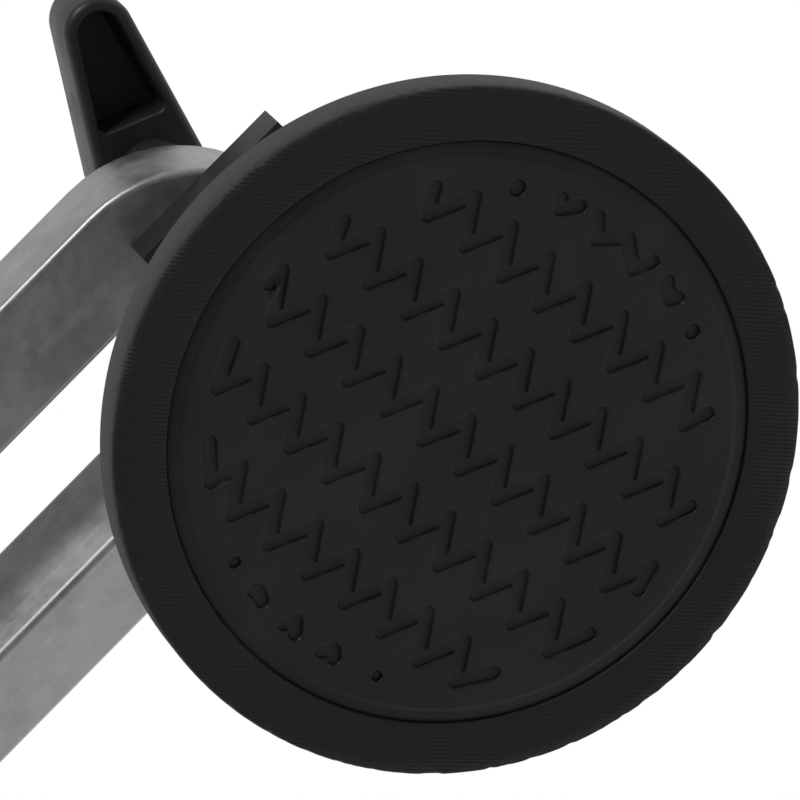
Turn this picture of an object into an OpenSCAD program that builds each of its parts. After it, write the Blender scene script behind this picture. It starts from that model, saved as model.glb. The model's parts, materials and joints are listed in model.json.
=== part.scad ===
// Ladder stabilizer: a crossbar that clamps across a ladder's rails carries, on two lean hinges, a wing bar
// with bent ends. Each end has a socket with a sliding arm, and each arm ends in a swivelling wall pad.
// +X runs along the bars, -Y faces the wall, +Z is up. The origin is on the face that meets the ladder.

/* [Bars] */
// Outside width of the two square bars
bar_w = 25.4; // [24:0.2:28]
// Wall thickness of the square tubes
bar_wall = 2; // [1.4:0.2:2.6]
// Radius of the tubes' outside corners
bar_corner = 1.6; // [0.8:0.2:2]
// Distance between the two pads, centre to centre
pad_span = 860; // [640:10:1100]
// Height of the wing bar above the crossbar, centre to centre
bar_gap = 52.6; // [51:0.2:66]
// Radius of the wing bar's bends, on the centreline
bend_r = 24; // [20:1:36]
// Length of a bent leg below the wing bar's centre
leg_drop = 84; // [76:1:130]
// Gap along X from a crossbar end to the bent leg beside it
leg_gap = 17; // [8:1:40]
// Lean of the ladder from upright, in degrees
lean = 23; // [12:1:30]

/* [Ladder clamps] */
// Distance between the ladder's rails, centre to centre
rail_span = 400; // [340:10:460]
// Distance between the two legs of a U-bolt
u_gap = 42; // [36:1:60]
// Straight reach of a U-bolt behind the crossbar's grip
u_reach = 60; // [40:1:100]
// Diameter of the U-bolts
u_dia = 6; // [5:0.5:8]
// Thickness of the rubber grip strip
grip_t = 4; // [2:0.5:6]
// Thickness of the U-bolt plates
u_plate_t = 3; // [2:0.5:4]

/* [Lean hinges] */
// Distance between the two lean hinges
hinge_span = 220; // [160:10:280]
// Thickness of the plate on the crossbar
plate_t = 8; // [6:0.5:10]
// Thickness of each clevis ear on the wing bar
ear_t = 6; // [4:0.5:8]
// Wall of the collars around the bars
collar_wall = 4; // [3:0.5:5]
// Diameter of the lean bolts
lean_dia = 8; // [6:0.5:9]

/* [Sockets and arms] */
// Width of a socket's flange, along X
flange_w = 44; // [42:1:60]
// Height of a socket's flange
flange_h = 54; // [52:1:64]
// Thickness of a socket's flange
flange_t = 12; // [8:1:16]
// Outside width of the square arms
arm_w = 22; // [19:0.5:23]
// Length of an arm
arm_len = 96; // [86:1:140]
// Wall of the square sleeve around an arm
sleeve_wall = 4.2; // [3:0.2:5]
// Length of the sleeve in front of the flange
sleeve_len = 65; // [55:1:80]
// Travel of an arm out of its socket
arm_travel = 40; // [20:1:50]
// Radius of the arm lock knobs
knob_r = 14; // [10:0.5:17]

/* [Lock levers] */
// Distance from a lever's pivot to the centre of its round tip
lever_len = 37; // [30:1:80]
// Radius of a lever's round tip
lever_tip_r = 8.5; // [7:0.5:12]
// Radius of a lever's hub
lever_hub_r = 13.5; // [12:0.5:15]
// Thickness of a lever
lever_t = 20; // [12:0.5:24]
// Swing of a lever from upright, in degrees
lever_tilt = 23.4; // [0:0.1:45]
// Length of the collar that holds a lever off the bar
standoff = 15; // [8:0.5:24]

/* [Pads] */
// Outside radius of a pad
pad_r = 75; // [64:1:90]
// Thickness of a pad's rubber
pad_t = 12.5; // [9:0.5:18]
// Outside radius of the ring groove in a tread
groove_r = 63.5; // [54:0.5:80]
// Width of the ring groove
groove_w = 3.4; // [2:0.2:5]
// Depth of the ring groove
groove_depth = 1.4; // [0.6:0.2:3]
// Thickness of the steel plate behind a pad
back_t = 3; // [2:0.5:5]
// Thickness of a hub's flange
hub_t = 6; // [4:0.5:10]
// Diameter of the swivel pins
pin_dia = 10; // [8:0.5:12]

/* [Fits] */
// Radial clearance of a pin or bolt that turns in its bore
run_play = 0.05; // [0.02:0.01:0.1]
// Gap on each side between pieces that slide or turn past each other
side_play = 0.3; // [0.2:0.05:0.6]

/* [Hidden] */
$fn = 48;

// the crossbar's axis is behind the origin by its half width and the grip strip
seat = bar_w / 2 + grip_t;
axis_y = -seat * cos(lean);
axis_z = -seat * sin(lean);

// lean hinge, halfway between the bars
pivot_z = bar_gap / 2;
collar_w = bar_w + 2 * collar_wall;
ear_r = pivot_z - bar_w / 2 - collar_wall - 0.6;
ear_in = plate_t / 2 + side_play;
ear_out = ear_in + ear_t;
lean_bore = lean_dia / 2 + run_play;
lean_knob_r = pivot_z - bar_w / 2 - 3;
lean_knob_t = 12;
lean_head_t = 5;

// bent ends
end_x = pad_span / 2;
arc_x = end_x - bend_r;
arc_z = bar_gap - bend_r;
leg_bottom = bar_gap - leg_drop;
crossbar_len = 2 * (end_x - bar_w / 2 - leg_gap);
tube_in = bar_w - 2 * bar_wall;
cap_t = 3;
cap_plug = 12;
cap_play = 0.1;

// sockets: the arm's axis is level with the hinge
face_y = -bar_w / 2;
flange_y = face_y - flange_t;
sleeve_w = arm_w + 2 * (side_play + sleeve_wall);
sleeve_end = flange_y - sleeve_len;
bore_w = arm_w + 2 * side_play;
bore_floor = 4;
boss_r = 8;
boss_t = 7;
knob_y = sleeve_end + 18;
knob_t = 19;
stud_r = 3;
arm_back = face_y - bore_floor - 3.3;
arm_front = arm_back - arm_len;

// socket fasteners
low_screw_z = pivot_z - flange_h / 2 + 7;
screw_r = 2.5;
screw_play = 0.1;
lever_x = end_x - flange_w / 2 + 15.4;
lever_z = pivot_z + flange_h / 2 - 5.7;
lever_bolt_r = 3;
lever_y = bar_w / 2 + standoff;
lever_wall = 3;
lever_pocket = 12;

// fork and swivel
fork_collar = 6;
fork_plug = 18;
fork_r = arm_w / 2;
lug_w = 10;
lug_r = 10;
fork_in = lug_w / 2 + side_play;
fork_out = arm_w / 2 + 0.3;
swivel_y = arm_front - fork_collar - lug_r - 3;
pin_bore = pin_dia / 2 + run_play;
pin_head_t = 3;
rivet_r = 2.5;
rivet_y = arm_front + fork_plug / 2;

// pad stack, from the hub to the tread's face
hub_back = swivel_y - fork_r - 2.5;
plate_back = hub_back - hub_t;
tread_back = plate_back - back_t;
face_front = tread_back - pad_t;
hub_r = 34;
plate_r = pad_r - 15;
screw_pcd_r = 25;
insert_r = 4.5;
insert_t = 8;

module place() translate([0, axis_y, axis_z]) children();
module on_bar() place() rotate([lean, 0, 0]) children();
module side(s) place() mirror([s < 0 ? 1 : 0, 0, 0]) children();
module both() {
    side(1) children();
    side(-1) children();
}
// a drawing's x and y become Y and Z, and its height becomes X
module along_x(t) rotate([90, 0, 90]) translate([0, 0, -t / 2]) linear_extrude(t) children();
// a cylinder that runs from y0 to y1
module y_rod(r, y0, y1) translate([0, y0, 0]) rotate([-90, 0, 0]) cylinder(r = r, h = y1 - y0);
module x_rod(r, x0, x1) translate([x0, 0, 0]) rotate([0, 90, 0]) cylinder(r = r, h = x1 - x0);
module y_box(w, y0, y1) translate([-w / 2, y0, -w / 2]) cube([w, y1 - y0, w]);

module round_square(w, r) {
    square([w, w - 2 * r], center = true);
    square([w - 2 * r, w], center = true);
    for (x = [-1, 1], y = [-1, 1])
        translate([x * (w / 2 - r), y * (w / 2 - r)]) circle(r = r);
}

module tube_profile(w, wall) {
    difference() {
        round_square(w, bar_corner);
        square(w - 2 * wall, center = true);
    }
}

// plug with a square flange for the end of a bar, its flange's outer face at x = 0
module end_plug() {
    rotate([90, 0, 90]) translate([0, 0, -cap_t]) linear_extrude(cap_t) round_square(bar_w, bar_corner);
    rotate([90, 0, 90]) translate([0, 0, -cap_t - cap_plug]) linear_extrude(cap_plug)
        square(tube_in - 2 * cap_play, center = true);
}

// knob with five lobes around Z, from z = 0 to t
module star_knob(r, t, bore) {
    lobe = r * 0.26;
    linear_extrude(t) difference() {
        union() {
            circle(r = r * 0.8);
            for (i = [0:4])
                rotate(72 * i + 20) translate([r - lobe, 0]) circle(r = lobe);
        }
        circle(r = bore);
    }
}

// ---- crossbar and ladder clamps ----

module crossbar() {
    color("silver") on_bar() difference() {
        along_x(crossbar_len) tube_profile(bar_w, bar_wall);
        u_holes(u_dia / 2 + screw_play);
        for (s = [-1, 1])
            translate([s * hinge_span / 2, 0, 0]) y_rod(screw_r + screw_play, -bar_w, 0);
    }
}

module u_holes(r) {
    for (s = [-1, 1], leg = [-1, 1])
        translate([s * rail_span / 2 + leg * u_gap / 2, 0, 0]) y_rod(r, -bar_w, bar_w);
}

module crossbar_caps() {
    color("black") on_bar() for (s = [0, 1])
        mirror([s, 0, 0]) translate([crossbar_len / 2 + cap_t, 0, 0]) end_plug();
}

module grip_strip() {
    color("dimgray") on_bar() difference() {
        translate([-rail_span / 2 - u_gap, bar_w / 2, -bar_w / 2 + 2])
            cube([rail_span + 2 * u_gap, grip_t, bar_w - 4]);
        u_holes(u_dia / 2 + screw_play);
        // gaps for the collars of the lean plates
        for (s = [-1, 1])
            translate([s * hinge_span / 2 - plate_t / 2 - side_play, 0, -bar_w])
                cube([plate_t + 2 * side_play, bar_w, 2 * bar_w]);
    }
}

module u_bolts() {
    color("gainsboro") on_bar() for (s = [-1, 1]) translate([s * rail_span / 2, 0, 0]) {
        for (leg = [-1, 1])
            translate([leg * u_gap / 2, 0, 0])
                y_rod(u_dia / 2, -bar_w / 2 - u_plate_t - 12, bar_w / 2 + grip_t + u_reach);
        translate([0, bar_w / 2 + grip_t + u_reach, 0]) rotate_extrude(angle = 180)
            translate([u_gap / 2, 0]) circle(r = u_dia / 2);
    }
}

module u_bolt_sleeves() {
    color("black") on_bar() for (s = [-1, 1])
        translate([s * rail_span / 2, bar_w / 2 + grip_t + u_reach, 0])
            rotate_extrude(angle = 180) translate([u_gap / 2, 0]) difference() {
                circle(r = u_dia / 2 + 1.5);
                circle(r = u_dia / 2 + run_play);
            }
}

module u_bolt_plates() {
    color("gainsboro") on_bar() difference() {
        for (s = [-1, 1])
            translate([s * rail_span / 2 - u_gap / 2 - 9, -bar_w / 2 - u_plate_t, -11])
                cube([u_gap + 18, u_plate_t, 22]);
        u_holes(u_dia / 2 + screw_play);
    }
}

module u_ring(r_out, y1, t, sides) {
    on_bar() for (s = [-1, 1], leg = [-1, 1])
        translate([s * rail_span / 2 + leg * u_gap / 2, y1 - t, 0]) rotate([-90, 0, 0]) difference() {
            cylinder(r = r_out, h = t, $fn = sides);
            translate([0, 0, -1]) cylinder(r = u_dia / 2 + screw_play, h = t + 2);
        }
}

module u_bolt_washers() color("silver") u_ring(u_dia, -bar_w / 2 - u_plate_t, 1.2, 48);
module u_bolt_nuts() color("silver") u_ring(u_dia * 0.95, -bar_w / 2 - u_plate_t - 1.2, 5.5, 6);

// ---- lean hinges ----

module lean_plates() {
    color("silver") place() for (s = [-1, 1]) translate([s * hinge_span / 2, 0, 0]) difference() {
        along_x(plate_t) difference() {
            union() {
                rotate(lean) round_square(collar_w, 3);
                translate([-ear_r, 0]) square([2 * ear_r, pivot_z]);
                translate([0, pivot_z]) circle(r = ear_r);
            }
            rotate(lean) square(bar_w, center = true);
            translate([0, pivot_z]) circle(r = lean_bore);
        }
        rotate([lean, 0, 0]) y_rod(screw_r + screw_play, -bar_w, 0);
    }
}

// pan-head screw whose head's seat is at y = 0, driven towards +Y
module pan_screw(len) {
    y_rod(screw_r, 0, len);
    difference() {
        y_rod(3.8, -2.4, 0);
        translate([-3, -2.9, -0.5]) cube([6, 1.4, 1]);
    }
}

module lean_plate_screws() {
    color("gray") on_bar() for (s = [-1, 1])
        translate([s * hinge_span / 2, -collar_w / 2, 0]) pan_screw(collar_wall + bar_wall + 3);
}

module lean_clevises() {
    color("silver") place() for (s = [-1, 1]) translate([s * hinge_span / 2, 0, 0]) difference() {
        union() {
            translate([0, 0, bar_gap]) along_x(2 * ear_out) difference() {
                round_square(collar_w, 3);
                square(bar_w, center = true);
            }
            for (e = [-1, 1]) translate([e * (ear_in + ear_t / 2), 0, 0]) along_x(ear_t) {
                translate([-ear_r, pivot_z]) square([2 * ear_r, bar_gap - bar_w / 2 - pivot_z]);
                translate([0, pivot_z]) circle(r = ear_r);
            }
        }
        translate([0, 0, pivot_z]) x_rod(lean_bore, -ear_out - 1, ear_out + 1);
        translate([0, 0, bar_gap]) y_rod(screw_r + screw_play, 0, bar_w);
    }
}

module clevis_screws() {
    color("gray") place() for (s = [-1, 1])
        translate([s * hinge_span / 2, collar_w / 2, bar_gap])
            rotate([0, 0, 180]) pan_screw(collar_wall + bar_wall + 3);
}

module lean_bolts() {
    color("gray") both() translate([hinge_span / 2, 0, pivot_z]) {
        x_rod(lean_dia / 2, -ear_out, ear_out + lean_knob_t + 1);
        translate([-ear_out - lean_head_t, 0, 0]) rotate([0, 90, 0]) cylinder(r = 7, h = lean_head_t, $fn = 6);
    }
}

module lean_knob(s) {
    color("black") side(s) translate([hinge_span / 2 + ear_out + side_play, 0, pivot_z])
        rotate([0, 90, 0]) star_knob(lean_knob_r, lean_knob_t, lean_bore);
}
module lean_knob_left() lean_knob(-1);
module lean_knob_right() lean_knob(1);

// ---- wing bar ----

module wing_bar() {
    color("silver") place() difference() {
        union() {
            translate([0, 0, bar_gap]) along_x(2 * arc_x) tube_profile(bar_w, bar_wall);
            for (s = [0, 1]) mirror([s, 0, 0]) {
                translate([arc_x, 0, arc_z]) rotate([90, 0, 0]) rotate_extrude(angle = 90)
                    translate([bend_r, 0]) tube_profile(bar_w, bar_wall);
                translate([end_x, 0, leg_bottom]) linear_extrude(arc_z - leg_bottom)
                    tube_profile(bar_w, bar_wall);
            }
        }
        for (s = [-1, 1]) {
            translate([s * hinge_span / 2, 0, bar_gap]) y_rod(screw_r + screw_play, 0, bar_w);
            translate([s * end_x, 0, low_screw_z]) y_rod(screw_r + screw_play, -bar_w, bar_w);
            translate([s * lever_x, 0, lever_z]) y_rod(lever_bolt_r + screw_play, -bar_w, bar_w);
        }
    }
}

module leg_caps() {
    color("black") both() translate([end_x, 0, leg_bottom - cap_t]) rotate([0, 90, 0]) end_plug();
}

// ---- sockets ----

module socket_body(s) {
    color("black") side(s) translate([end_x, 0, pivot_z]) difference() {
        union() {
            translate([-flange_w / 2, flange_y, -flange_h / 2]) cube([flange_w, flange_t, flange_h]);
            y_box(sleeve_w, sleeve_end, flange_y);
            translate([0, knob_y, -sleeve_w / 2 - boss_t]) cylinder(r = boss_r, h = boss_t);
        }
        y_box(bore_w, sleeve_end - 1, face_y - bore_floor);
        translate([0, knob_y, -sleeve_w / 2 - boss_t - 1])
            cylinder(r = stud_r + run_play, h = boss_t + sleeve_wall + 2);
        translate([0, 0, low_screw_z - pivot_z]) y_rod(screw_r + screw_play, face_y - 9, 0);
        translate([lever_x - end_x, 0, lever_z - pivot_z])
            y_rod(lever_bolt_r + screw_play, face_y - 9, 0);
    }
}
module socket_left() socket_body(-1);
module socket_right() socket_body(1);

module socket_screws() {
    color("gray") both() translate([end_x, bar_w / 2, low_screw_z])
        rotate([0, 0, 180]) pan_screw(bar_w + 8);
}

// ---- lock levers ----

module lever_bolts() {
    color("gray") both() translate([lever_x, 0, lever_z])
        y_rod(lever_bolt_r, face_y - 8, lever_y + lever_t + 6);
}

module lever_collars() {
    color("dimgray") both() translate([lever_x, 0, lever_z]) difference() {
        y_rod(9, bar_w / 2, lever_y - side_play);
        y_rod(lever_bolt_r + screw_play, 0, lever_y + 1);
    }
}

module lever_nuts() {
    color("silver") both() translate([lever_x, lever_y + lever_t + side_play, lever_z])
        rotate([-90, 0, 0]) difference() {
            cylinder(r = 5.7, h = 5, $fn = 6);
            translate([0, 0, -1]) cylinder(r = lever_bolt_r + screw_play, h = 7);
        }
}

// outline of a lever, pivot at the origin and tip towards +Y, narrowed by inset
module lever_outline(inset) {
    hub = lever_hub_r - inset;
    tip = lever_tip_r - inset;
    slope = asin((hub - tip) / lever_len);
    circle(r = hub);
    translate([0, lever_len]) circle(r = tip);
    polygon([[-hub * cos(slope), hub * sin(slope)], [hub * cos(slope), hub * sin(slope)],
        [tip * cos(slope), lever_len + tip * sin(slope)],
        [-tip * cos(slope), lever_len + tip * sin(slope)]]);
}

module lock_lever(s) {
    color("black") side(s) translate([lever_x, lever_y + lever_t, lever_z])
        rotate([90, 0, 0]) rotate([0, 0, -lever_tilt]) difference() {
            linear_extrude(lever_t) lever_outline(0);
            translate([0, 0, lever_t - lever_pocket]) linear_extrude(lever_pocket + 1) intersection() {
                lever_outline(lever_wall);
                translate([-lever_hub_r, lever_hub_r]) square([2 * lever_hub_r, lever_len]);
            }
            translate([0, 0, -1]) cylinder(r = lever_bolt_r + run_play, h = lever_t + 2);
        }
}
module lock_lever_left() lock_lever(-1);
module lock_lever_right() lock_lever(1);

// ---- arm locks ----

module arm_knob(s) {
    color("black") side(s)
        translate([end_x, knob_y, pivot_z - sleeve_w / 2 - boss_t - side_play - knob_t])
            star_knob(knob_r, knob_t, stud_r);
}
module arm_knob_left() arm_knob(-1);
module arm_knob_right() arm_knob(1);

module arm_stud(s) {
    color("gray") side(s) translate([end_x, knob_y, pivot_z - sleeve_w / 2 - boss_t - side_play - knob_t])
        cylinder(r = stud_r, h = knob_t + boss_t + sleeve_wall + side_play);
}
module arm_stud_left() arm_stud(-1);
module arm_stud_right() arm_stud(1);

// ---- arms ----

module arm(s) {
    color("silver") side(s) translate([end_x, arm_back, pivot_z]) difference() {
        rotate([90, 0, 0]) linear_extrude(arm_len) tube_profile(arm_w, bar_wall);
        translate([0, rivet_y - arm_back, -arm_w]) cylinder(r = rivet_r + screw_play, h = 2 * arm_w);
    }
}
module arm_left() arm(-1);
module arm_right() arm(1);

module arm_fork(s) {
    color("dimgray") side(s) translate([end_x, 0, pivot_z]) difference() {
        union() {
            y_box(arm_w - 2 * bar_wall - 2 * cap_play, arm_front, arm_front + fork_plug);
            y_box(arm_w, arm_front - fork_collar, arm_front);
            for (e = [-1, 1])
                translate([e * (fork_in + fork_out) / 2, swivel_y, 0]) along_x(fork_out - fork_in) {
                    circle(r = fork_r);
                    translate([0, -fork_r]) square([arm_front - fork_collar - swivel_y, 2 * fork_r]);
                }
        }
        translate([0, swivel_y, 0]) x_rod(pin_bore, -fork_out - 1, fork_out + 1);
        translate([0, rivet_y, -arm_w]) cylinder(r = rivet_r + screw_play, h = 2 * arm_w);
    }
}
module arm_fork_left() arm_fork(-1);
module arm_fork_right() arm_fork(1);

module arm_rivet(s) {
    color("gainsboro") side(s) translate([end_x, rivet_y, pivot_z]) {
        cylinder(r = rivet_r, h = arm_w, center = true);
        for (e = [0, 1]) mirror([0, 0, e]) translate([0, 0, arm_w / 2]) cylinder(r1 = 4.5, r2 = 3, h = 1.6);
    }
}
module arm_rivet_left() arm_rivet(-1);
module arm_rivet_right() arm_rivet(1);

module swivel_pin(s) {
    color("gray") side(s) translate([end_x, swivel_y, pivot_z]) difference() {
        union() {
            x_rod(pin_dia / 2, -fork_out, fork_out + 4);
            x_rod(pin_dia / 2 + 3, -fork_out - pin_head_t, -fork_out);
        }
        // groove for the clip
        difference() {
            x_rod(pin_dia, fork_out + 0.6, fork_out + 1.8);
            x_rod(pin_dia / 2 - 1, fork_out, fork_out + 3);
        }
    }
}
module swivel_pin_left() swivel_pin(-1);
module swivel_pin_right() swivel_pin(1);

module pin_clip(s) {
    color("silver") side(s) translate([end_x, swivel_y, pivot_z]) difference() {
        x_rod(pin_dia / 2 + 2.4, fork_out + 0.7, fork_out + 1.7);
        x_rod(pin_dia / 2 - 1 + screw_play, fork_out, fork_out + 3);
        translate([fork_out, -pin_dia, -3]) cube([3, pin_dia, 6]);
    }
}
module pin_clip_left() pin_clip(-1);
module pin_clip_right() pin_clip(1);

// ---- pads ----

module pad_screw_places() {
    for (i = [0:3])
        rotate([0, 45 + 90 * i, 0]) translate([screw_pcd_r, 0, 0]) children();
}

module pad_hub(s) {
    color("dimgray") side(s) translate([end_x, 0, pivot_z]) difference() {
        union() {
            y_rod(hub_r, plate_back, hub_back);
            translate([0, swivel_y, 0]) along_x(lug_w) {
                circle(r = lug_r);
                translate([hub_back - swivel_y - 1, -lug_r]) square([swivel_y - hub_back + 1, 2 * lug_r]);
            }
        }
        translate([0, swivel_y, 0]) x_rod(pin_bore, -lug_w, lug_w);
        pad_screw_places() y_rod(screw_r + screw_play, plate_back - 1, hub_back + 1);
    }
}
module pad_hub_left() pad_hub(-1);
module pad_hub_right() pad_hub(1);

module pad_plate(s) {
    color("silver") side(s) translate([end_x, 0, pivot_z]) difference() {
        y_rod(plate_r, tread_back, plate_back);
        pad_screw_places() y_rod(screw_r + screw_play, tread_back - 1, plate_back + 1);
    }
}
module pad_plate_left() pad_plate(-1);
module pad_plate_right() pad_plate(1);

module pad_screws(s) {
    color("gray") side(s) translate([end_x, hub_back, pivot_z])
        pad_screw_places() rotate([0, 0, 180]) pan_screw(hub_t + back_t + insert_t - 1);
}
module pad_screws_left() pad_screws(-1);
module pad_screws_right() pad_screws(1);

module pad_inserts(s) {
    color("goldenrod") side(s) translate([end_x, 0, pivot_z]) pad_screw_places() difference() {
        y_rod(insert_r, tread_back - insert_t, tread_back);
        y_rod(screw_r + screw_play, tread_back - insert_t - 1, tread_back + 1);
    }
}
module pad_inserts_left() pad_inserts(-1);
module pad_inserts_right() pad_inserts(1);

module pad_tread(s) {
    color("black") side(s) translate([end_x, 0, pivot_z]) difference() {
        y_rod(pad_r, face_front, tread_back);
        pad_screw_places() y_rod(insert_r, tread_back - insert_t, tread_back + 1);
        difference() {
            y_rod(groove_r, face_front - 1, face_front + groove_depth);
            y_rod(groove_r - groove_w, face_front - 2, face_front + groove_depth + 1);
        }
    }
}
module pad_tread_left() pad_tread(-1);
module pad_tread_right() pad_tread(1);

crossbar();
crossbar_caps();
grip_strip();
u_bolts();
u_bolt_sleeves();
u_bolt_plates();
u_bolt_washers();
u_bolt_nuts();
lean_plates();
lean_plate_screws();
wing_bar();
leg_caps();
lean_clevises();
clevis_screws();
lean_bolts();
lean_knob_left();
lean_knob_right();
socket_left();
socket_right();
socket_screws();
lever_bolts();
lever_collars();
lever_nuts();
lock_lever_left();
lock_lever_right();
arm_knob_left();
arm_knob_right();
arm_stud_left();
arm_stud_right();
arm_left();
arm_right();
arm_fork_left();
arm_fork_right();
arm_rivet_left();
arm_rivet_right();
swivel_pin_left();
swivel_pin_right();
pin_clip_left();
pin_clip_right();
pad_hub_left();
pad_hub_right();
pad_plate_left();
pad_plate_right();
pad_screws_left();
pad_screws_right();
pad_inserts_left();
pad_inserts_right();
pad_tread_left();
pad_tread_right();
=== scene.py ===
"""A ladder stabilizer seen close to one wall pad: worn rubber tread, square aluminium bars, black mouldings.

Metres, row frame: +X along the bars, -Y to the wall, +Z up the wall.
"""

import json
import math

import bmesh
import bpy
from mathutils import Matrix, Vector, noise
from mathutils.geometry import delaunay_2d_cdt


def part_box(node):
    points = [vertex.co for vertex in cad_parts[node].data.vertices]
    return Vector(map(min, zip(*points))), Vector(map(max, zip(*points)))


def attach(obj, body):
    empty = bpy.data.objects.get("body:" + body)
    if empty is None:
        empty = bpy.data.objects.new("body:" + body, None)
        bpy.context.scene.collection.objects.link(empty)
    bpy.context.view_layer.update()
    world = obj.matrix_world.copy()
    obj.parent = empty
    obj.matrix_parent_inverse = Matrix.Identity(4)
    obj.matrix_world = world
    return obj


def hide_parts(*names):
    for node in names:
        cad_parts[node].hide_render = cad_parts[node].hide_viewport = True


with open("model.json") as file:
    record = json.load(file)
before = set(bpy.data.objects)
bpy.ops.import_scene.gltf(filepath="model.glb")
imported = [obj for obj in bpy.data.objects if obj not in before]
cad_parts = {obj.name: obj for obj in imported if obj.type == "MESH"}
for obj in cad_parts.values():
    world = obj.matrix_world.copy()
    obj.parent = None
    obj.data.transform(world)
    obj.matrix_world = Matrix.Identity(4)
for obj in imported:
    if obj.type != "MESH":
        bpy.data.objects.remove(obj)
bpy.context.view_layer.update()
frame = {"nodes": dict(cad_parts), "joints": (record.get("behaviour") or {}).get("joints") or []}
scene = bpy.context.scene

# ---- crossbar and wing bar ----
# Two square aluminium tubes, cut and bent as drawn and left with their mill finish: cloudy grey patches, faint
# drawn streaks along the bars, and fine handling marks.


class Value:
    """A shader socket with arithmetic. Any node that isn't maths comes from made()."""

    def __init__(self, tree, socket):
        self.tree = tree
        self.socket = socket

    def made(self, kind, inputs, output=0, **settings):
        """A new node: its settings first, then its inputs, from numbers or other values."""
        node = self.tree.nodes.new(kind)
        for name, value in settings.items():
            setattr(node, name, value)
        for name, value in inputs.items():
            if isinstance(value, Value):
                self.tree.links.new(value.socket, node.inputs[name])
            else:
                node.inputs[name].default_value = value
        return Value(self.tree, node.outputs[output])

    def maths(self, kind, *others):
        inputs = dict(enumerate((self, *others)))
        return self.made("ShaderNodeMath", inputs, operation=kind)

    def __add__(self, other):
        return self.maths("ADD", other)

    def __sub__(self, other):
        return self.maths("SUBTRACT", other)

    def __rsub__(self, other):
        return self.made("ShaderNodeMath", {0: other, 1: self}, operation="SUBTRACT")

    def __mul__(self, other):
        return self.maths("MULTIPLY", other)

    def __truediv__(self, other):
        return self.maths("DIVIDE", other)

    __radd__ = __add__
    __rmul__ = __mul__

    def between(self, low, high):
        """0 at low, 1 at high, and smooth in between."""
        return self.made("ShaderNodeMapRange", {"Value": self, "From Min": low, "From Max": high},
                         interpolation_type="SMOOTHSTEP")

    def noise(self, scale, detail=2.0, rough=0.5):
        return self.made("ShaderNodeTexNoise",
                         {"Vector": self, "Scale": scale, "Detail": detail, "Roughness": rough})

    def stretched(self, x, y, z):
        return self.made("ShaderNodeMapping", {"Vector": self, "Scale": (x, y, z)})

    def part(self, axis):
        return self.made("ShaderNodeSeparateXYZ", {"Vector": self}, output="XYZ".index(axis))

    def colour(self, low, high):
        """A colour from low to high as this goes from 0 to 1."""
        return self.made("ShaderNodeMix", {0: self, 6: (*low, 1), 7: (*high, 1)}, output=2, data_type="RGBA")

    def bump(self, strength, distance):
        return self.made("ShaderNodeBump", {"Height": self, "Strength": strength, "Distance": distance})


def material(name, metallic):
    """A new material, its shader, and the place of a point of the object."""
    finish = bpy.data.materials.new(name)
    finish.use_nodes = True
    shader = finish.node_tree.nodes["Principled BSDF"]
    shader.inputs["Metallic"].default_value = metallic
    place = finish.node_tree.nodes.new("ShaderNodeTexCoord")
    return finish, shader, Value(finish.node_tree, place.outputs["Object"])


def feed(finish, shader, **sources):
    """Joins values to a shader's sockets, whose names have _ for a space."""
    for name, value in sources.items():
        finish.node_tree.links.new(value.socket, shader.inputs[name.replace("_", " ")])


def dress(finish, *nodes):
    """Gives CAD nodes a material."""
    for name in nodes:
        frame["nodes"][name].data.materials.clear()
        frame["nodes"][name].data.materials.append(finish)


mill, mill_shader, at = material("mill_aluminium", 1.0)
cloud = at.noise(55, 5, 0.62).between(0.33, 0.68)
speck = at.noise(260, 3, 0.6).between(0.40, 0.66)
streak = at.stretched(6, 420, 420).noise(1.0, 3, 0.7).between(0.3, 0.7)
mottle = cloud * 0.62 + speck * 0.22 + streak * 0.16
feed(mill, mill_shader,
     Base_Color=mottle.colour((0.30, 0.302, 0.308), (0.50, 0.502, 0.508)),
     Roughness=mottle * 0.16 + 0.40,
     Normal=(streak * 0.5 + speck * 0.5).bump(0.10, 0.0002))
dress(mill, "crossbar", "wing_bar")

# ---- end caps ----
# Pushed into the open ends of the bars. They are moulded black nylon with a fine spark-eroded grain and a little
# dust, and every other moulding here has the same finish. Their edges are rounded.


def ease(width, segments, *nodes):
    """Rounds the sharp edges of CAD nodes."""
    for name in nodes:
        edge = frame["nodes"][name].modifiers.new("eased", "BEVEL")
        edge.width = width
        edge.segments = segments
        edge.limit_method = "ANGLE"
        edge.angle_limit = math.radians(40)


MOULDED_EDGE = 0.0007
plastic, plastic_shader, at = material("black_plastic", 0.0)
grain = at.noise(1700, 2, 0.6)
dust = at.noise(75, 4, 0.6).between(0.45, 0.75)
feed(plastic, plastic_shader,
     Base_Color=dust.colour((0.012, 0.012, 0.013), (0.020, 0.020, 0.021)),
     Roughness=dust * 0.12 + 0.46,
     Normal=grain.bump(0.22, 0.00012))
dress(plastic, "crossbar_caps", "leg_caps")
ease(MOULDED_EDGE, 3, "crossbar_caps", "leg_caps")

# ---- ladder clamps ----
# A ribbed rubber strip on the crossbar's back rests on the ladder. Each side rail is held by a zinc-plated U-bolt
# in a vinyl sleeve, with a plate, washers and nuts. The plate's sheen is patchy and has small scratches.

grip, grip_shader, at = material("grip_rubber", 0.0)
ribs = at.part("X").maths("MULTIPLY", 2100.0).maths("SINE").between(-0.4, 0.6)
feed(grip, grip_shader,
     Base_Color=at.noise(140, 4).colour((0.016, 0.016, 0.017), (0.035, 0.035, 0.036)),
     Roughness=at.noise(400, 3) * 0.15 + 0.62,
     Normal=ribs.bump(0.6, 0.0006))
dress(grip, "grip_strip")

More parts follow.
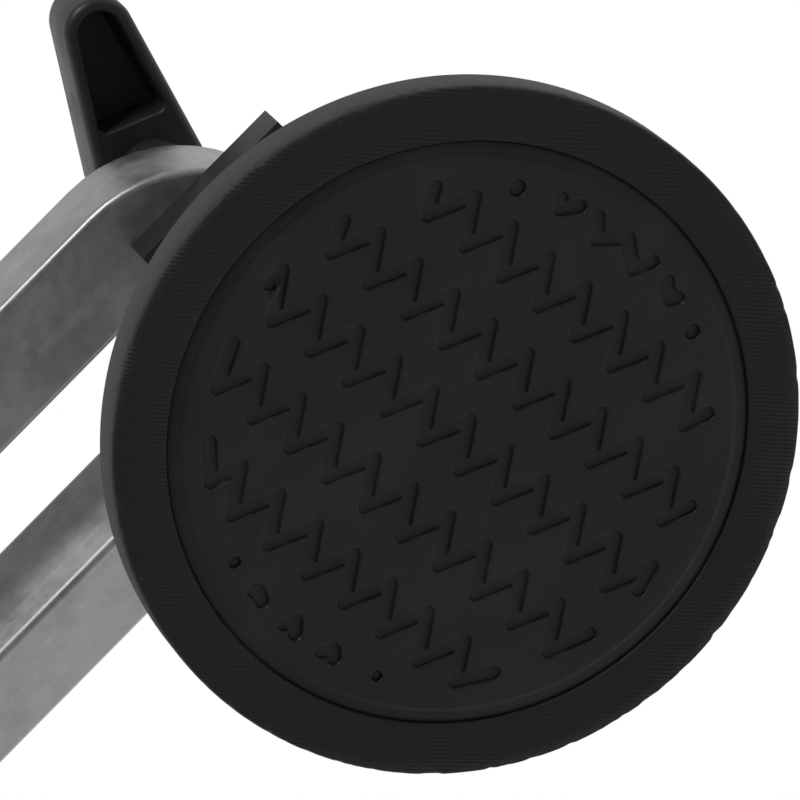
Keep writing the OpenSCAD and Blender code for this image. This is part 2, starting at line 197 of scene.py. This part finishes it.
vinyl, vinyl_shader, at = material("vinyl_black", 0.0)
feed(vinyl, vinyl_shader,
     Base_Color=at.noise(200, 3).colour((0.014, 0.014, 0.015), (0.024, 0.024, 0.025)),
     Roughness=at.noise(350, 3) * 0.15 + 0.3)
dress(vinyl, "u_bolt_sleeves")

PLATED_EDGE = 0.0004
zinc, zinc_shader, at = material("zinc_steel", 1.0)
patch = at.noise(120, 4, 0.6)
scratch = at.stretched(900, 90, 300).noise(1.0, 2, 0.6)
feed(zinc, zinc_shader,
     Base_Color=patch.colour((0.50, 0.51, 0.53), (0.68, 0.68, 0.68)),
     Roughness=patch * 0.18 + 0.24,
     Normal=scratch.bump(0.08, 0.0001))
dress(zinc, "u_bolts", "u_bolt_plates", "u_bolt_washers", "u_bolt_nuts")
ease(PLATED_EDGE, 2, "u_bolt_plates", "u_bolt_nuts")

# ---- lean hinges ----
# Cast aluminium plates on the crossbar and clevises on the wing bar, with a plated bolt through each pair and a
# moulded star knob that locks it. The castings keep a sandy grain.


def both(*names):
    return [f"{name}_{side}" for name in names for side in ("left", "right")]


CAST_EDGE = 0.0008
cast, cast_shader, at = material("cast_aluminium", 1.0)
grain = at.noise(700, 3, 0.6)
feed(cast, cast_shader,
     Base_Color=at.noise(90, 3).colour((0.42, 0.425, 0.43), (0.58, 0.585, 0.6)),
     Roughness=grain * 0.2 + 0.45,
     Normal=grain.bump(0.35, 0.0002))
dress(cast, "lean_plates", "lean_clevises")
ease(CAST_EDGE, 2, "lean_plates", "lean_clevises")
dress(zinc, "lean_plate_screws", "clevis_screws", "lean_bolts")
dress(plastic, *both("lean_knob"))
ease(MOULDED_EDGE, 3, *both("lean_knob"))

# ---- sockets and arms ----
# A moulded socket is screwed to each leg. A square aluminium arm slides in it, locked by a knob on a plated stud,
# and carries a moulded fork held by a bright aluminium rivet.

dress(plastic, *both("socket", "arm_fork", "arm_knob"))
ease(MOULDED_EDGE, 3, *both("socket", "arm_fork", "arm_knob"))
dress(zinc, "socket_screws", *both("arm_stud"))
dress(mill, *both("arm"))

rivet, rivet_shader, at = material("rivet_aluminium", 1.0)
feed(rivet, rivet_shader,
     Base_Color=at.noise(220, 2).colour((0.60, 0.60, 0.61), (0.74, 0.74, 0.75)),
     Roughness=at.noise(500, 3) * 0.2 + 0.25)
dress(rivet, *both("arm_rivet"))

# ---- pad joints and backing ----
# A moulded hub tilts on a plated pin with a spring-steel clip. A plated disc behind the rubber is screwed to the
# hub, into brass inserts moulded in the rubber.

dress(plastic, *both("pad_hub"))
ease(MOULDED_EDGE, 3, *both("pad_hub"))
dress(zinc, *both("swivel_pin", "pad_plate", "pad_screws"))
ease(PLATED_EDGE, 2, *both("pad_plate"))

spring, spring_shader, at = material("spring_steel", 1.0)
feed(spring, spring_shader,
     Base_Color=at.noise(300, 2).colour((0.16, 0.16, 0.17), (0.26, 0.26, 0.27)),
     Roughness=at.noise(600, 2) * 0.2 + 0.3)
dress(spring, *both("pin_clip"))

brass, brass_shader, at = material("insert_brass", 1.0)
feed(brass, brass_shader,
     Base_Color=at.noise(400, 2).colour((0.62, 0.46, 0.20), (0.78, 0.62, 0.32)),
     Roughness=at.noise(800, 2) * 0.2 + 0.28)
dress(brass, *both("pad_inserts"))

# ---- wall pads ----
# One moulded rubber tread: recessed zigzag rows, dots and clipped shapes in the middle, a ring groove, a flat rim
# whose outer edge is worn ragged, and a plain side wall. The sanded rim is darker and rougher, with fine curved
# lines and pale scuffs; the middle is smooth with faint smears. The side wall and the recess floors are painted
# lighter, as painted light. Outlines are in mm from the pad's axis.

tread_lo, tread_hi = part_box("pad_tread_right")
pad_middle = (tread_lo + tread_hi) / 2
pad_face = Vector((pad_middle.x, tread_lo.y, pad_middle.z))
pad_r = (tread_hi.x - tread_lo.x) / 2
pad_t = tread_hi.y - tread_lo.y
MM = 0.001

rubber, rubber_shader, at = material("tread_rubber", 0.0)
side_x = at.part("X").maths("ABSOLUTE") - pad_middle.x
up_z = at.part("Z") - pad_middle.z
across = (side_x * side_x + up_z * up_z).maths("SQRT") / pad_r
rim = across.between(0.843, 0.850)
# painted light: everything set back more than 0.4 mm from the face (side wall, recess floors) gets a lighter
# colour
painted_light_set_back = at.part("Y").between(pad_face.y + 0.4 * MM, pad_face.y + 1.2 * MM)
smear = at.stretched(1.0, 1.0, 1.6).noise(28, 5, 0.6).between(0.38, 0.72)
fleck = at.noise(900, 3, 0.7).between(0.60, 0.80)
patchy = at.noise(60, 3, 0.6).between(0.42, 0.62)
bow = at.noise(14, 1, 0.4) * 16.0
lines = (side_x * 5280.0 + up_z * 4420.0 + bow).maths("SINE") * 0.5 + 0.5
edge_wear = across.between(0.93, 1.0) * at.noise(420, 5, 0.75).between(0.55, 0.72)
# colour tone: smears, flecks and edge wear, plus painted light on the side wall and recess floors, minus the
# sanded rim
tone_and_painted_light = smear * 0.6 + fleck * 0.12 + painted_light_set_back * 0.45 + edge_wear * 1.1 - rim * 0.45
feed(rubber, rubber_shader,
     Base_Color=tone_and_painted_light.colour((0.0080, 0.0081, 0.0084), (0.0290, 0.0292, 0.0297)),
     Roughness=rim * 0.12 + smear * 0.06 + 0.50,
     Normal=(at.noise(1100, 4, 0.65) * (rim * 0.55 + 0.18) + lines * rim * patchy * 0.5
             + at.noise(240, 3, 0.6) * rim * 0.5).bump(0.75, 0.00045))

TOOTH = 10.7
ROW_STEP = Vector((0.57, -10.7))
ROW_GAP = Vector((-19.1, 10.2))
FIRST_CORNER = Vector((29.3, 38.7))
TOOTH_TURN = math.radians(-27)
PATTERN_TURN = math.radians(2.5)
PATTERN_R = 55.8
STRIP_W = 3.1
GROOVE_D = 1.3
DISC_R = 59.6
RING_IN = 60.3
RING_OUT = 63.5
ROUND = 360


def row_point(row, t):
    """A point of a zigzag's middle line: whole t at its left corners, half t at its right ones."""
    whole = math.floor(t)
    left = FIRST_CORNER + ROW_GAP * row + ROW_STEP * whole
    right = left + Vector((math.cos(TOOTH_TURN), math.sin(TOOTH_TURN))) * TOOTH
    share = (t - whole) * 2
    if share <= 1:
        return left.lerp(right, share)
    return right.lerp(left + ROW_STEP, share - 1)


def zigzag(row, start, stop):
    corners = [c / 2 for c in range(math.floor(start * 2) + 1, math.ceil(stop * 2))]
    return [row_point(row, t) for t in (start, *corners, stop)]


def strip_outline(line, half):
    """Outline of a strip along a line: round ends, round outer corners, sharp inner ones."""
    out = []
    for points in (line, line[::-1]):
        for i in range(1, len(points)):
            before = (points[i] - points[i - 1]).normalized()
            first = math.atan2(before.y, before.x) - math.pi / 2
            if i == len(points) - 1:
                turn = math.pi
            else:
                after = (points[i + 1] - points[i]).normalized()
                turn = math.atan2(before.x * after.y - before.y * after.x, before.dot(after))
            if turn > 0:
                steps = max(3, round(turn / math.radians(18)))
                for k in range(steps + 1):
                    angle = first + turn * k / steps
                    out.append(points[i] + Vector((math.cos(angle), math.sin(angle))) * half)
            else:
                inward = first + turn / 2
                reach = half / math.cos(turn / 2)
                out.append(points[i] + Vector((math.cos(inward), math.sin(inward))) * reach)
    return out


def round_outline(middle, radius):
    turns = [2 * math.pi * k / 28 for k in range(28)]
    return [middle + Vector((math.cos(a), math.sin(a))) * radius for a in turns]


def on_tread(points, reach):
    """Turns points to the pattern's angle, and pulls those past reach in to it."""
    out = []
    for point in points:
        turned = Vector((point.x * math.cos(PATTERN_TURN) - point.y * math.sin(PATTERN_TURN),
                         point.x * math.sin(PATTERN_TURN) + point.y * math.cos(PATTERN_TURN)))
        out.append(turned * min(1.0, reach / turned.length))
    return out


ROWS = ((-1, 0.84, 1.25), (-1, 1.68, 3.22), (-1, 3.76, 4.20), (0, -0.35, 7.30), (1, -0.40, 9.33),
        (2, 0.30, 10.80), (3, 1.52, 11.45), (4, 3.56, 11.42), (5, 7.35, 7.65), (5, 8.35, 8.65), (5, 9.35, 9.65))
DOTS = ((47.3, 28.8, 1.8), (50.2, -23.6, 1.7), (-52.5, 18.9, 1.3), (-50.6, -23.2, 1.2))
# a recess's wall: how far in from its half width, and how deep
STEPS = ((-0.50, 0.0), (-0.24, 0.0), (-0.05, 0.12), (0.16, 0.82), (0.38, 0.98), (0.70, 1.0))

recess_loops = []
for row, start, stop in ROWS:
    line = on_tread(zigzag(row, start, stop), PATTERN_R - STRIP_W / 2)
    recess_loops.append([strip_outline(line, STRIP_W / 2 - inset) for inset, _ in STEPS])
for x, z, radius in DOTS:
    spot = on_tread([Vector((x, z))], PATTERN_R - radius)[0]
    recess_loops.append([round_outline(spot, radius - inset * 0.8) for inset, _ in STEPS])

flat_points, flat_edges, flat_depths = [], [], []


def add_loop(points, depth):
    first = len(flat_points)
    flat_points.extend(points)
    flat_depths.extend([depth] * len(points))
    flat_edges.extend((first + k, first + (k + 1) % len(points)) for k in range(len(points)))


rim_turns = [2 * math.pi * k / ROUND for k in range(ROUND)]
add_loop([Vector((math.cos(a), math.sin(a))) * DISC_R for a in rim_turns], 0.0)
for loops in recess_loops:
    for points, (_, depth) in zip(loops, STEPS):
        add_loop(points, depth * GROOVE_D)
disc_points, _, disc_faces, first_points, _, _ = delaunay_2d_cdt(flat_points, flat_edges, [], 1, 1e-5, True)

tread = bmesh.new()
disc_verts = []
for point, sources in zip(disc_points, first_points):
    depth = max((flat_depths[k] for k in sources), default=0.0)
    disc_verts.append(tread.verts.new((point.x, depth, point.y)))
for corners in disc_faces:
    tread.faces.new([disc_verts[k] for k in corners])

# the rest is rings, from the disc's edge over the groove, rim and edge to the back
worn = []
for a in rim_turns:
    spot = Vector((math.cos(a), math.sin(a), 0.0))
    chip = max(0.0, noise.noise(spot * 23.0) + 0.6 * noise.noise(spot * 61.0) - 0.12)
    worn.append(0.25 + 1.15 * chip + 0.25 * abs(noise.noise(spot * 7.0)))
thick = pad_t / MM
full_r = pad_r / MM
RINGS = ((RING_IN, 0.06, 0), (RING_IN + 0.35, 0.42, 0), (RING_IN + 0.9, 0.50, 0), (RING_OUT - 0.55, 0.62, 0),
         (RING_OUT - 0.18, 0.95, 0), (RING_OUT - 0.05, 0.12, 0), (RING_OUT + 0.25, 0.0, 0), (66.5, 0.0, 0),
         (70.0, 0.0, 0), (72.4, 0.03, 0.2), (full_r - 0.35, 0.16, 1.0), (full_r - 0.04, 0.75, 0.75),
         (full_r, 1.6, 0.2), (full_r, 3.0, 0), (full_r, thick - 1.0, 0), (full_r - 0.5, thick - 0.2, 0),
         (full_r - 1.2, thick, 0), (30.0, thick, 0))
start_of = {}
for place, sources in enumerate(first_points):
    for k in sources:
        if k < ROUND:
            start_of[k] = disc_verts[place]
last = [start_of[k] for k in range(ROUND)]
for radius, depth, wear in RINGS:
    ring = []
    for a, chip in zip(rim_turns, worn):
        r = radius - wear * chip * 0.55
        ring.append(tread.verts.new((r * math.cos(a), depth + wear * chip * 0.30, r * math.sin(a))))
    for k in range(ROUND):
        n = (k + 1) % ROUND
        tread.faces.new((last[k], last[n], ring[n], ring[k]))
    last = ring
tread.faces.new(last)
bmesh.ops.recalc_face_normals(tread, faces=tread.faces)
for face in tread.faces:
    face.smooth = True


def own_piece(shape, name, finish, sharp):
    """An object from a finished mesh, with edges sharper than an angle kept sharp."""
    mesh = bpy.data.meshes.new(name)
    shape.to_mesh(mesh)
    shape.free()
    mesh.set_sharp_from_angle(angle=math.radians(sharp))
    mesh.materials.append(finish)
    piece = bpy.data.objects.new(name, mesh)
    scene.collection.objects.link(piece)
    return piece


for side, sign in (("left", -1), ("right", 1)):
    own = tread.copy()
    for vert in own.verts:
        x, depth, z = vert.co * MM
        vert.co = (sign * (pad_middle.x + x), pad_face.y + depth, pad_middle.z + z)
    if sign < 0:
        bmesh.ops.reverse_faces(own, faces=own.faces)
    piece = own_piece(own, f"rubber_tread_{side}", rubber, sharp=62)
    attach(piece, f"{side}_pad")
    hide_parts(f"pad_tread_{side}")

# ---- lock levers ----
# Moulded black nylon, edges rounded, with a deep pocket on the wall side. It turns on a plated bolt with a nut.
# Outlines are in mm from the pivot, x across the lever and y towards its tip; depth is from its back.

dress(zinc, "lever_bolts", "lever_nuts")
ease(PLATED_EDGE, 2, "lever_nuts")
dress(plastic, "lever_collars")
ease(MOULDED_EDGE, 3, "lever_collars")

LEVER_TILT = math.radians(23.4)
HUB = (Vector((0.0, 0.0)), 13.5)
TIP = (Vector((0.0, 37.0)), 8.5)
LEVER_BORE = 3.05
POCKET_D = 12.0
POCKET = ((Vector((-6.4, 15.9)), 2.4), (Vector((6.4, 15.9)), 2.4), (TIP[0], TIP[1] - 2.8))
DIRECTIONS = [Vector((math.cos(a), math.sin(a))) for a in (2 * math.pi * k / 120 for k in range(120))]


def wrapped(circles, inset=0.0):
    """Outline of a band pulled tight round circles, moved in by inset."""
    out = []
    for way in DIRECTIONS:
        middle, radius = max(circles, key=lambda c: c[0].dot(way) + c[1])
        out.append(middle + way * (radius - inset))
    return out


def inside(circles, point):
    return all(point.dot(way) < max(c[0].dot(way) + c[1] for c in circles) - 1e-4 for way in DIRECTIONS)


def lofted(target, outlines):
    """Joins outlines of equal length, each with its depth, into a skin; returns its first and last loops."""
    loops = [[target.verts.new((p.x, depth, p.y)) for p in points] for points, depth in outlines]
    for one, two in zip(loops, loops[1:]):
        for k in range(len(one)):
            n = (k + 1) % len(one)
            target.faces.new((one[k], one[n], two[n], two[k]))
    return loops[0], loops[-1]


def flat_between(target, outer, holes, is_open):
    """Fills the flat between an outer loop and its holes."""
    verts = [v for loop in (outer, *holes) for v in loop]
    edges, first = [], 0
    for loop in (outer, *holes):
        edges += [(first + k, first + (k + 1) % len(loop)) for k in range(len(loop))]
        first += len(loop)
    points = [Vector((v.co.x, v.co.z)) for v in verts]
    placed, _, triangles, sources, _, _ = delaunay_2d_cdt(points, edges, [], 1, 1e-5, True)
    for corners in triangles:
        middle = sum((placed[k] for k in corners), Vector((0, 0))) / 3
        if is_open(middle):
            target.faces.new([verts[sources[k][0]] for k in corners])


lever_lo, lever_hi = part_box("lock_lever_right")
lever_t = (lever_hi.y - lever_lo.y) / MM
body_of_lever = (HUB, TIP)
lever = bmesh.new()
back, front = lofted(lever, [
    (wrapped(body_of_lever, 2.0), 0.0), (wrapped(body_of_lever, 0.9), 0.28), (wrapped(body_of_lever, 0.25), 0.95),
    (wrapped(body_of_lever), 2.0), (wrapped(body_of_lever), lever_t - 2.4),
    (wrapped(body_of_lever, 0.3), lever_t - 1.1), (wrapped(body_of_lever, 1.0), lever_t - 0.3),
    (wrapped(body_of_lever, 2.0), lever_t)])
mouth, floor = lofted(lever, [
    (wrapped(POCKET), lever_t), (wrapped(POCKET, 0.3), lever_t - 0.35), (wrapped(POCKET, 0.5), lever_t - 1.2),
    (wrapped(POCKET, 0.9), lever_t - POCKET_D + 1.0), (wrapped(POCKET, 1.9), lever_t - POCKET_D)])
lever.faces.new(floor)
bore_circle = ((Vector((0.0, 0.0)), LEVER_BORE),)
bore_back, bore_front = lofted(lever, [(wrapped(bore_circle), 0.0), (wrapped(bore_circle), lever_t)])
flat_between(lever, back, [bore_back], lambda p: p.length > LEVER_BORE * 0.99)
flat_between(lever, front, [mouth, bore_front],
             lambda p: p.length > LEVER_BORE * 0.99 and not inside(POCKET, p))
bmesh.ops.recalc_face_normals(lever, faces=lever.faces)
for face in lever.faces:
    face.smooth = True

pivots = {joint["name"]: Vector(joint["pos_m"]) for joint in frame["joints"] if joint["type"] == "hinge"}
for side, sign in (("left", -1), ("right", 1)):
    pivot = pivots[f"{side}_lever_swing"]
    own = lever.copy()
    for vert in own.verts:
        x, depth, y = vert.co * MM
        out_x = x * math.cos(LEVER_TILT) + y * math.sin(LEVER_TILT)
        up_y = y * math.cos(LEVER_TILT) - x * math.sin(LEVER_TILT)
        vert.co = (pivot.x + sign * out_x, lever_hi.y - depth, pivot.z + up_y)
    if sign > 0:
        bmesh.ops.reverse_faces(own, faces=own.faces)
    piece = own_piece(own, f"moulded_lever_{side}", plastic, sharp=40)
    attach(piece, f"{side}_lever")
    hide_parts(f"lock_lever_{side}")

# ---- stage and light ----
# A white surround with no floor, dim on the wall side and overhead and brighter below.
# A small lamp above the pad shows its relief, and a weaker one fills in from the front.

ELEVATION = math.radians(21.8)
ROLL = math.radians(45.36)
DISTANCE = 1.3626
LENS = 292.5
AIM = Vector((-3.68, 5.35, 13.38)) * MM

look = Vector((0.0, math.cos(ELEVATION), -math.sin(ELEVATION)))
level = Vector((1.0, 0.0, 0.0))
rise = level.cross(look)
right = level * math.cos(ROLL) - rise * math.sin(ROLL)
over = level * math.sin(ROLL) + rise * math.cos(ROLL)

world = bpy.data.worlds.new("surround")
scene.world = world
world.use_nodes = True
sky = Value(world.node_tree, world.node_tree.nodes.new("ShaderNodeTexCoord").outputs["Generated"])
behind = sky.part("Y").between(-0.85, 0.35)
above = sky.part("Z").between(0.30, 0.90)
below = (sky.part("Z") * -1.0).between(0.45, 0.95)
seen = sky.made("ShaderNodeLightPath", {}, output="Is Camera Ray")
strength = ((behind * 0.60 + 0.20) * (1 - above * 0.62) + below * 0.30).maths("MAXIMUM", seen)
background = world.node_tree.nodes["Background"]
background.inputs["Color"].default_value = (1, 1, 1, 1)
world.node_tree.links.new(strength.socket, background.inputs["Strength"])


def lamp(name, energy, size, offset):
    data = bpy.data.lights.new(name, "AREA")
    data.energy = energy
    data.size = size
    light = bpy.data.objects.new(name, data)
    light.location = pad_middle + offset
    light.rotation_mode = "QUATERNION"
    light.rotation_quaternion = (-offset).to_track_quat("-Z", "Y")
    scene.collection.objects.link(light)


lamp("key", 7.0, 0.3, -look * 0.55 - right * 0.75 + over * 0.85)
lamp("fill", 0.5, 0.8, -look * 0.9 + right * 0.7 - over * 0.5)

camera = bpy.data.objects.new("camera", bpy.data.cameras.new("camera"))
camera.data.sensor_width = 36
camera.data.lens = LENS
camera.data.clip_start = 0.05
camera.data.clip_end = 20
camera.rotation_mode = "QUATERNION"
camera.location = pad_face + AIM - look * DISTANCE

scene.collection.objects.link(camera)
scene.camera = camera
# the view is level with the bars turned by ROLL about the line of sight
camera.rotation_quaternion = Matrix((right, over, -look)).transposed().to_quaternion()

scene.view_settings.view_transform = "Standard"
scene.view_settings.look = "None"
scene.view_settings.exposure = 0.0
